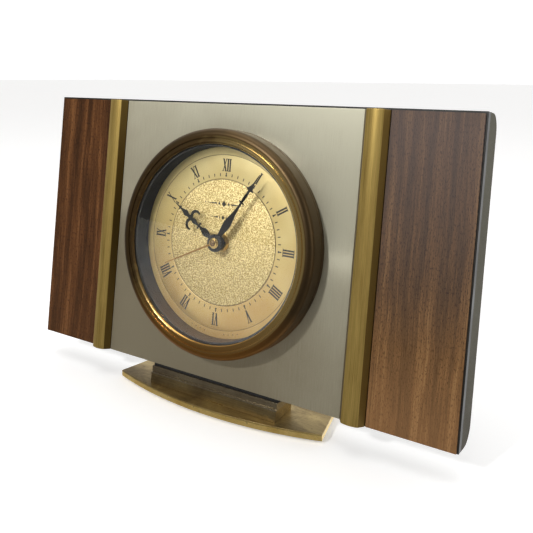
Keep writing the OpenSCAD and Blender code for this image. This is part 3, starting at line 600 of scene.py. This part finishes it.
bezelOutline = [(skirt + 0.31, 0.0), (skirt + 1.0, 0.0), (skirt + 1.0, frontAt - size["roll"] - 0.6),
                (size["outer"] - 1.0, frontAt - size["roll"] - 0.6), (size["outer"] - 1.0, 0.15),
                (size["outer"] - 0.8, 0.0), (size["outer"] - 0.2, 0.0), (size["outer"], 0.25)]
bezelOutline += [(size["outer"], 2.2), (size["outer"] - 0.12, 2.35),
                 (size["outer"] - 0.12, 2.6), (size["outer"], 2.75)]
bezelOutline += arc(size["outer"] - size["roll"], frontAt - size["roll"], size["roll"], 0, 90, 16)
bezelOutline += [(skirt + 2.05, frontAt), (skirt + 1.95, frontAt - 0.08), (skirt + 1.92, frontAt - 0.5),
                 (skirt + 1.52, frontAt - 0.5), (skirt + 1.5, frontAt - 0.12), (skirt + 1.4, frontAt - 0.02)]
bezelOutline += arc(skirt + 0.15, frontAt - 0.95, 0.95, 72, 160, 8)
bezelOutline += [(skirt - 0.8, lipAt + 0.12), (skirt - 0.72, lipAt), (skirt + 0.31, lipAt)]
bezel = newPiece("bezel_spun", *turned(bezelOutline, 256))
stands(bezel, "bezel", finish["bezel_brass"])

glassRadius = skirt - 0.12
curve = (glassRadius ** 2 + size["dome"] ** 2) / (2 * size["dome"])


def domeHeight(r):
    return math.sqrt(curve ** 2 - r ** 2) - (curve - size["dome"])


front = [(glassRadius * i / 14, glassAt + 1 + domeHeight(glassRadius * i / 14)) for i in range(15)]
back = [(r, f - 1) for r, f in reversed(front)]
front[-1] = (glassRadius - 0.15, front[-1][1])
outline = front + [(glassRadius, glassAt + 0.85), (glassRadius, glassAt + 0.15), (glassRadius - 0.15, glassAt + 0.02)]
lens = newPiece("glass_domed", *turned(outline + back[1:], 192))
stands(lens, "glass", finish["lens"])

wallSize = {"inner": size["dial"] - 0.8, "outer": size["dial"] + 0.1, "top": glassAt - 0.4, "round": 0.3}
wallOutline = [(wallSize["inner"], size["rise"]), (wallSize["outer"], size["rise"]),
               (wallSize["outer"], wallSize["top"]),
               (wallSize["inner"] + wallSize["round"], wallSize["top"]),
               (wallSize["inner"], wallSize["top"] - wallSize["round"])]
wall = newPiece("spacer_wall", *turned(wallOutline, 192))
stands(wall, "spacer_ring", finish["wall"])

dialSize = {"thick": 0.5, "bore": 3.0, "circle": 28.6, "outerCircle": 39.7, "groove": 0.16, "deep": 0.12}
rise, deep, half = size["rise"], dialSize["deep"], dialSize["groove"]
dialOutline = [(dialSize["bore"], rise - dialSize["thick"]), (dialSize["bore"], rise),
               (dialSize["circle"] - 0.5, rise)]
dialOutline += [(dialSize["circle"] - half, rise - deep), (dialSize["circle"] + half, rise - deep),
                (dialSize["circle"] + 0.4, rise + 0.03), (dialSize["outerCircle"] - 0.5, rise + 0.03)]
dialOutline += [(dialSize["outerCircle"] - half, rise - deep * 0.5),
                (dialSize["outerCircle"] + half, rise - deep * 0.5),
                (dialSize["outerCircle"] + 0.5, rise), (size["dial"] - 0.2, rise), (size["dial"], rise - 0.2),
                (size["dial"], rise - dialSize["thick"])]
dial = newPiece("dial_disc", *turned(dialOutline, 256))
stands(dial, "dial", finish["dial_gold"])

lineFinish = plasticFinish("printedBrown", (0.03, 0.016, 0.006), (0.07, 0.04, 0.018), 0.5)
rings = [(dialSize["circle"], 0.11, rise - deep + 0.03),
         (dialSize["outerCircle"], 0.09, rise - deep * 0.5 + 0.03)]
points, faces = [], []
for r, wide, top in rings:
    ringPoints, ringFaces = turned([(r - wide, top - 0.04), (r - wide, top), (r + wide, top),
                                    (r + wide, top - 0.04)], 192)
    faces += [[i + len(points) for i in face] for face in ringFaces]
    points += ringPoints
joins(newPiece("dial_circles", points, faces), "case", lineFinish)
print("insert turned")

# numerals and ticks

numeralLook = {"foot": 32.2, "tall": 5.7, "thick": 0.74, "thin": 0.34, "serif": 0.3, "step": 1.16,
               "vWide": 2.25, "xWide": 2.35, "raised": 0.05}
inkFront = rise + 0.03 + numeralLook["raised"]


def bar(u0, v0, u1, v1, wide):  # a stroke with level ends
    return [(u0 - wide / 2, v0), (u0 + wide / 2, v0), (u1 + wide / 2, v1), (u1 - wide / 2, v1)]


def numeralStrokes(word):
    look, strokes, u, tall = numeralLook, [], 0.0, numeralLook["tall"]
    lip = look["serif"]
    for letter in word:
        if letter == "I":
            wide = look["step"]
            strokes += [bar(u + wide / 2, 0, u + wide / 2, tall, look["thick"])]
            ends = [(u + wide / 2, 0, wide + 0.06), (u + wide / 2, tall - lip, wide + 0.06)]
        elif letter == "V":
            wide = look["vWide"]
            strokes += [bar(u + 0.45, tall, u + wide / 2 + 0.1, 0, look["thick"]),
                        bar(u + wide - 0.35, tall, u + wide / 2 + 0.05, 0, look["thin"])]
            ends = [(u + 0.45, tall - lip, 1.1), (u + wide - 0.35, tall - lip, 0.85)]
        else:
            wide = look["xWide"]
            strokes += [bar(u + 0.42, tall, u + wide - 0.42, 0, look["thick"]),
                        bar(u + wide - 0.36, tall, u + 0.36, 0, look["thin"])]
            ends = [(u + 0.42, tall - lip, 1.05), (u + wide - 0.36, tall - lip, 0.8),
                    (u + wide - 0.42, 0, 1.05), (u + 0.36, 0, 0.8)]
        strokes += [bar(x, v, x, v + lip, w) for x, v, w in ends]
        u += wide
    return [[(x - u / 2, v) for x, v in stroke] for stroke in strokes]


points, faces = [], []
words = ["XII", "I", "II", "III", "IIII", "V", "VI", "VII", "VIII", "IX", "X", "XI"]
for hour, word in enumerate(words):
    turn = math.radians(hour * 30)
    across, out = (math.cos(turn), -math.sin(turn)), (math.sin(turn), math.cos(turn))
    for count, stroke in enumerate(numeralStrokes(word)):
        lifted = inkFront - 0.002 * (count % 5)  # strokes that cross don't share a face
        level = numeralLook["foot"]
        loop = [(x * across[0] + (level + v) * out[0], x * across[1] + (level + v) * out[1]) for x, v in stroke]
        slab(loop, -lifted, -(rise + 0.01), points, faces)
ink = plasticFinish("printedBlack", (0.006, 0.005, 0.004), (0.022, 0.018, 0.012), 0.45)
joins(newPiece("dial_numerals", points, faces), "case", ink)


def nodeTree(name, inputs):
    tree = bpy.data.node_groups.new(name, "GeometryNodeTree")
    for label, kind, value in inputs:
        socket = tree.interface.new_socket(label, in_out="INPUT", socket_type="NodeSocket" + kind)
        if value is not None:
            socket.default_value = value
    tree.interface.new_socket("Geometry", in_out="OUTPUT", socket_type="NodeSocketGeometry")
    return tree, tree.nodes.new("NodeGroupInput"), tree.nodes.new("NodeGroupOutput")


def geo(tree, kind, inputs=None, **settings):
    node = tree.nodes.new(kind)
    for key, value in settings.items():
        setattr(node, key, value)
    for key, value in (inputs or {}).items():
        if isinstance(value, bpy.types.NodeSocket):
            tree.links.new(value, node.inputs[key])
        else:
            node.inputs[key].default_value = value
    return node


def ringTree():  # blocks set round a circle, each pointing outwards
    tree, given, result = nodeTree("set round a circle", [
        ("Count", "Int", 60), ("Radius", "Float", 30.0), ("Length", "Float", 1.4), ("Width", "Float", 0.3),
        ("Height", "Float", 0.1), ("Finish", "Material", None)])
    circle = geo(tree, "GeometryNodeMeshCircle", {"Vertices": given.outputs["Count"],
                                                  "Radius": given.outputs["Radius"]})
    box = geo(tree, "ShaderNodeCombineXYZ", {0: given.outputs["Width"], 1: given.outputs["Length"],
                                             2: given.outputs["Height"]})
    block = geo(tree, "GeometryNodeMeshCube", {"Size": box.outputs[0]})
    where = geo(tree, "GeometryNodeInputPosition")
    facing = geo(tree, "FunctionNodeAlignEulerToVector", {"Vector": where.outputs[0]}, axis="Y", pivot_axis="Z")
    spread = geo(tree, "GeometryNodeInstanceOnPoints", {"Points": circle.outputs[0], "Instance": block.outputs[0],
                                                        "Rotation": facing.outputs[0]})
    real = geo(tree, "GeometryNodeRealizeInstances", {0: spread.outputs[0]})
    coloured = geo(tree, "GeometryNodeSetMaterial", {"Geometry": real.outputs[0],
                                                     "Material": given.outputs["Finish"]})
    tree.links.new(coloured.outputs[0], result.inputs[0])
    return tree


def grow(name, tree, values, place):  # runs the tree and keeps a plain mesh
    holder = bpy.data.objects.new(name + "_holder", bpy.data.meshes.new(name + "_holder"))
    bpy.context.scene.collection.objects.link(holder)
    modifier = holder.modifiers.new("grow", "NODES")
    modifier.node_group = tree
    for item in tree.interface.items_tree:
        if item.item_type == "SOCKET" and item.in_out == "INPUT" and item.name in values:
            modifier[item.identifier] = values[item.name]
    mesh = bpy.data.meshes.new_from_object(holder.evaluated_get(bpy.context.evaluated_depsgraph_get()))
    bpy.data.objects.remove(holder)
    mesh.transform(place)
    mesh.name = name
    return wrapMesh(name, mesh, weld=False)


tickLook = {"minutes": {"Count": 60, "Radius": 30.6, "Length": 1.35, "Width": 0.42, "Height": 0.06},
            "hours": {"Count": 12, "Radius": 30.75, "Length": 1.75, "Width": 0.52, "Height": 0.07},
            "stops": {"Count": 12, "Radius": 30.15, "Length": 0.5, "Width": 0.95, "Height": 0.064}}
ticks = ringTree()
for name, values in tickLook.items():
    place = onHead @ Matrix.Translation((0, -(rise + 0.045), 0)) @ Matrix.Rotation(math.radians(90), 4, "X")
    piece = grow("dial_" + name, ticks, {**values, "Finish": ink}, place)
    piece.data.materials.clear()
    joins(piece, "case", ink)

ornamentLook = {"upper": 17.4, "lower": 11.2, "half": 9.6, "lowerHalf": 5.4, "lozenge": 1.5}


def lozenge(x, z, wide, tall):
    return [(x - wide, z), (x, z - tall), (x + wide, z), (x, z + tall)]


points, faces = [], []
for level, reach, big in ((ornamentLook["upper"], ornamentLook["half"], ornamentLook["lozenge"]),
                          (ornamentLook["lower"], ornamentLook["lowerHalf"], 1.05)):
    shapes = [lozenge(0, level, big * 0.8, big)]
    for side in (-1, 1):
        shapes.append(lozenge(side * big * 1.75, level, big * 0.38, big * 0.5))
        tail = [(side * big * 2.6, level - 0.34), (side * reach, level - 0.05), (side * reach, level + 0.05),
                (side * big * 2.6, level + 0.34)]
        shapes.append(tail if side > 0 else tail[::-1])
        shapes.append(lozenge(side * (reach + 0.7), level, 0.36, 0.36))
    for shape in shapes:
        slab(shape, -(rise + 0.05), -(rise - 0.01), points, faces)
for side in (-1, 1):  # a row of dots under the six
    for step in range(4):
        turn = math.radians(180 + side * (7.5 + step * 3.4))
        x, z = 41.4 * math.sin(turn), 41.4 * math.cos(turn)
        slab(lozenge(x, z, 0.3, 0.3), -(rise + 0.04), -(rise - 0.01), points, faces)
joins(newPiece("dial_ornament", points, faces), "case", ink)
print("dial printed")

# hands

handLook = {"hour": {"angle": 302.75, "front": 4.4, "boss": 4.0},  # fronts are above the dial
            "minute": {"angle": 33.0, "front": 5.4, "boss": 3.9},
            "second": {"angle": 244.2, "front": 6.4, "boss": 2.0}, "thick": 0.3}


def blade(stations):
    return [(w, v) for v, w in stations] + [(-w, v) for v, w in reversed(stations)]


def roundShape(x, z, radius, steps=40):
    turns = [i * math.tau / steps for i in range(steps)]
    return [(x + radius * math.cos(t), z + radius * math.sin(t)) for t in turns]


def crescent(side):
    outer = [(2.35 + 2.85 * math.sin(math.radians(t)), 16.1 + 2.85 * math.cos(math.radians(t)))
             for t in range(-72, 121, 8)]
    inner = [(2.3 + 1.85 * math.sin(math.radians(t)), 15.55 + 1.95 * math.cos(math.radians(t)))
             for t in range(116, -70, -8)]
    loop = outer + inner
    return loop if side > 0 else [(-x, z) for x, z in reversed(loop)]


hourShapes = [roundShape(0, 0, handLook["hour"]["boss"]),
              blade([(3.2, 0.95), (4.4, 0.85), (5.6, 1.45), (7.0, 1.78), (8.2, 1.65), (9.6, 0.95), (10.8, 0.5),
                     (12.6, 0.45)]),
              blade([(11.45, 0.4), (11.55, 1.5), (11.75, 1.85), (12.0, 1.85), (12.2, 1.5), (12.35, 0.4)]),
              blade([(12.2, 0.5), (14.0, 0.75), (15.2, 1.3), (16.6, 0.85), (18.0, 1.2), (19.4, 0.7), (20.6, 1.25),
                     (21.6, 1.35), (22.8, 0.85), (24.4, 0.45), (29.1, 0.12)]),
              blade([(24.9, 0.3), (25.0, 0.95), (25.25, 1.1), (25.5, 0.95), (25.6, 0.3)]), crescent(1), crescent(-1)]
minuteShapes = [roundShape(0, 0, handLook["minute"]["boss"]),
                blade([(2.6, 1.0), (5.0, 1.1), (7.6, 1.55), (9.8, 1.9), (11.5, 1.95), (13.6, 1.6), (16.6, 1.0),
                       (20.0, 0.6),
                       (23.2, 0.45), (25.2, 0.75), (28.0, 0.62), (30.6, 0.5), (34.0, 0.34), (38.4, 0.14)]),
                blade([(22.9, 0.4), (23.0, 1.35), (23.3, 1.7), (23.6, 1.35), (23.7, 0.4)]),
                blade([(29.6, 0.5), (30.0, 1.35), (30.2, 2.15), (30.9, 1.3), (32.2, 0.75), (33.4, 0.45)])]
secondShapes = [roundShape(0, 0, handLook["second"]["boss"]),
                blade([(1.2, 0.48), (16, 0.38), (24, 0.32), (29.3, 0.24)])]
for name, shapes, node in (("hour", hourShapes, "hour_hand"), ("minute", minuteShapes, "minute_hand"),
                           ("second", secondShapes, "second_hand")):
    look = handLook[name]
    turn = math.radians(look["angle"])
    points, faces = [], []
    for count, shape in enumerate(shapes):
        loop = [(x * math.cos(turn) + z * math.sin(turn), -x * math.sin(turn) + z * math.cos(turn)) for x, z in shape]
        step = 0.004 * count
        slab(loop, -rise - look["front"] + step, -rise - look["front"] + handLook["thick"] - step, points, faces)
    piece = newPiece(name + "_hand_cut", points, faces)
    stands(eased(piece, 0.07, 2, 40), node, finish[slotOf[node]])

buttonFinish = metalFinish("buttonBronze", (0.06, 0.035, 0.02), (0.24, 0.15, 0.08), (0.18, 0.32))
cap = [(0.0, 4.55), (1.3, 4.55), (1.38, 4.7)]
cap += [(1.38 * math.cos(math.radians(t)), 4.75 + 0.72 * math.sin(math.radians(t))) for t in range(10, 90, 10)]
cap += [(0.0, 5.47)]
bushOut = 2
collar = [(1.32, 3.45), (2.35, 3.45), (2.45, 3.52), (2.45, 3.7), (2.3, 3.92), (1.9, 4.0), (1.32, 4.0)]
seat = [(2.0, 4.4), (2.0, 4.5), (1.75, 4.72), (1.45, 4.76), (1.4, 4.5), (1.4, 4.4)]


def aboveDial(outline):  # the outline's heights are above the end of the hand bush
    return turned([(r, rise + bushOut + f) for r, f in outline], 64)


stands(newPiece("second_cap_domed", *aboveDial(cap)), "second_cap", buttonFinish)
stands(newPiece("minute_collar", *aboveDial(collar)), "minute_collet", finish["wheel_brass"])
joins(newPiece("second_boss_ring", *aboveDial(seat)), "second_group", finish["wheel_brass"])
print("hands cut")

# back: screws, knob, cell, movement

for node, width in {"movement_front": 0.35, "movement_back": 0.3, "set_knob": 0.12, "case_screws": 0.35,
                    "movement_screws": 0.15, "dial_washer": 0.08, "dial_nut": 0.1}.items():
    stands(eased(fromNode(node, node + "_eased"), width, 2), node, finish[slotOf[node]])

cellLook = {"bandAt": 13.0, "wrap": ((0.012, 0.014, 0.018), (0.04, 0.044, 0.052)),
            "band": ((0.42, 0.2, 0.05), (0.55, 0.3, 0.09))}


def cellFinish():
    material, shader = newFinish("cellWrap", (0.05, 0.055, 0.065))
    spot = headPlace(material)
    along = part(material, spot, "X")
    scuff = noise(material, spot, 0.8, 4, 0.6)
    wrap = mixed(material, scuff, *cellLook["wrap"])
    band = mixed(material, scuff, *cellLook["band"])
    colour = mixed(material, between(material, along, cellLook["bandAt"], cellLook["bandAt"] + 0.15), wrap, band)
    plug(material, colour, shader.inputs["Base Color"])
    plug(material, between(material, scuff, 0.3, 0.7, 0.25, 0.4), shader.inputs["Roughness"])
    plug(material, bump(material, scuff, 0.01), shader.inputs["Normal"])
    return material


stands(eased(fromNode("battery", "battery_cell"), 0.5, 3), "battery", cellFinish())

for node in frame["nodes"]:
    if node in bodyOf:
        dress(node, finish[slotOf[node]])
print("back dressed")

# stage

stageLook = {"floor": 0.9, "glow": 0.3, "key": 5.2, "top": 3.6, "side": 1.0, "world": 1.15,
             "dim": (0.13, 0.12, 0.105), "dimTo": -0.3, "brightFrom": 0.3}
bpy.ops.mesh.primitive_plane_add(size=30, location=(0, 0, -0.0002))
floor = bpy.context.object
floor.name = "paleFloor"
floorFinish, floorShader = newFinish("paleFloor", (0.9, 0.9, 0.9))
floorNoise = noise(floorFinish, add(floorFinish, "TexCoord", output=3), 3, 2, 0.5)
plug(floorFinish, mixed(floorFinish, floorNoise, (stageLook["floor"],) * 3, (stageLook["floor"] + 0.02,) * 3),
     floorShader.inputs["Base Color"])
floorShader.inputs["Roughness"].default_value = 0.9
floorShader.inputs["Emission Color"].default_value = (1, 1, 1, 1)
floorShader.inputs["Emission Strength"].default_value = stageLook["glow"]
floor.data.materials.append(floorFinish)
floor.visible_glossy = False  # the lens and the metals see the room only


def softLamp(name, spot, target, power, width, height):
    lamp = bpy.data.lights.new(name, "AREA")
    lamp.shape = "RECTANGLE"
    lamp.size, lamp.size_y, lamp.energy = width, height, power
    holder = bpy.data.objects.new(name, lamp)
    holder.location = spot
    holder.rotation_euler = (Vector(target) - Vector(spot)).to_track_quat("-Z", "Y").to_euler()
    bpy.context.scene.collection.objects.link(holder)


softLamp("keyLamp", (-0.2, -0.91, 0.66), (0, 0, 0.07), stageLook["key"], 0.09, 0.09)
softLamp("topLamp", (-0.1, -0.25, 1.3), (0, 0, 0.05), stageLook["top"], 0.9, 0.6)
softLamp("sideLamp", (1.3, -0.1, 0.5), (0, 0, 0.06), stageLook["side"], 0.3, 0.8)

world = bpy.data.worlds.new("paleRoom")  # bright behind the clock, dim behind the viewer
bpy.context.scene.world = world
world.use_nodes = True
sky = world.node_tree
heading = sky.nodes.new("ShaderNodeTexCoord")
split = sky.nodes.new("ShaderNodeSeparateXYZ")
blend = sky.nodes.new("ShaderNodeMapRange")
tint = sky.nodes.new("ShaderNodeMix")
tint.data_type = "RGBA"
for label, value in (("From Min", stageLook["dimTo"]), ("From Max", stageLook["brightFrom"])):
    blend.inputs[label].default_value = value
tint.inputs[6].default_value = (*stageLook["dim"], 1)
tint.inputs[7].default_value = (1, 1, 1, 1)
sky.links.new(heading.outputs["Generated"], split.inputs[0])
sky.links.new(split.outputs[1], blend.inputs["Value"])
sky.links.new(blend.outputs[0], tint.inputs[0])
sky.links.new(tint.outputs[2], sky.nodes["Background"].inputs[0])
sky.nodes["Background"].inputs[1].default_value = stageLook["world"]

cameraLook = {"turn": 31.59, "height": 8.28, "roll": 0.41, "lens": 44.06, "drop": -0.18,
              "at": (0.1679, -0.2442, 0.1510)}
turn, height, roll = (math.radians(cameraLook[k]) for k in ("turn", "height", "roll"))
back = Vector((math.sin(turn) * math.cos(height), -math.cos(turn) * math.cos(height), math.sin(height)))
side = Vector((math.cos(turn), math.sin(turn), 0))
up = back.cross(side)
right = math.cos(roll) * side + math.sin(roll) * up
upright = -math.sin(roll) * side + math.cos(roll) * up
eye = bpy.data.cameras.new("eye")
eye.lens, eye.sensor_width, eye.shift_y, eye.clip_start = cameraLook["lens"], 36, cameraLook["drop"], 0.01
camera = bpy.data.objects.new("eye", eye)
camera.matrix_world = Matrix(((right.x, upright.x, back.x, cameraLook["at"][0]),
                              (right.y, upright.y, back.y, cameraLook["at"][1]),
                              (right.z, upright.z, back.z, cameraLook["at"][2]), (0, 0, 0, 1)))
bpy.context.scene.collection.objects.link(camera)
bpy.context.scene.camera = camera
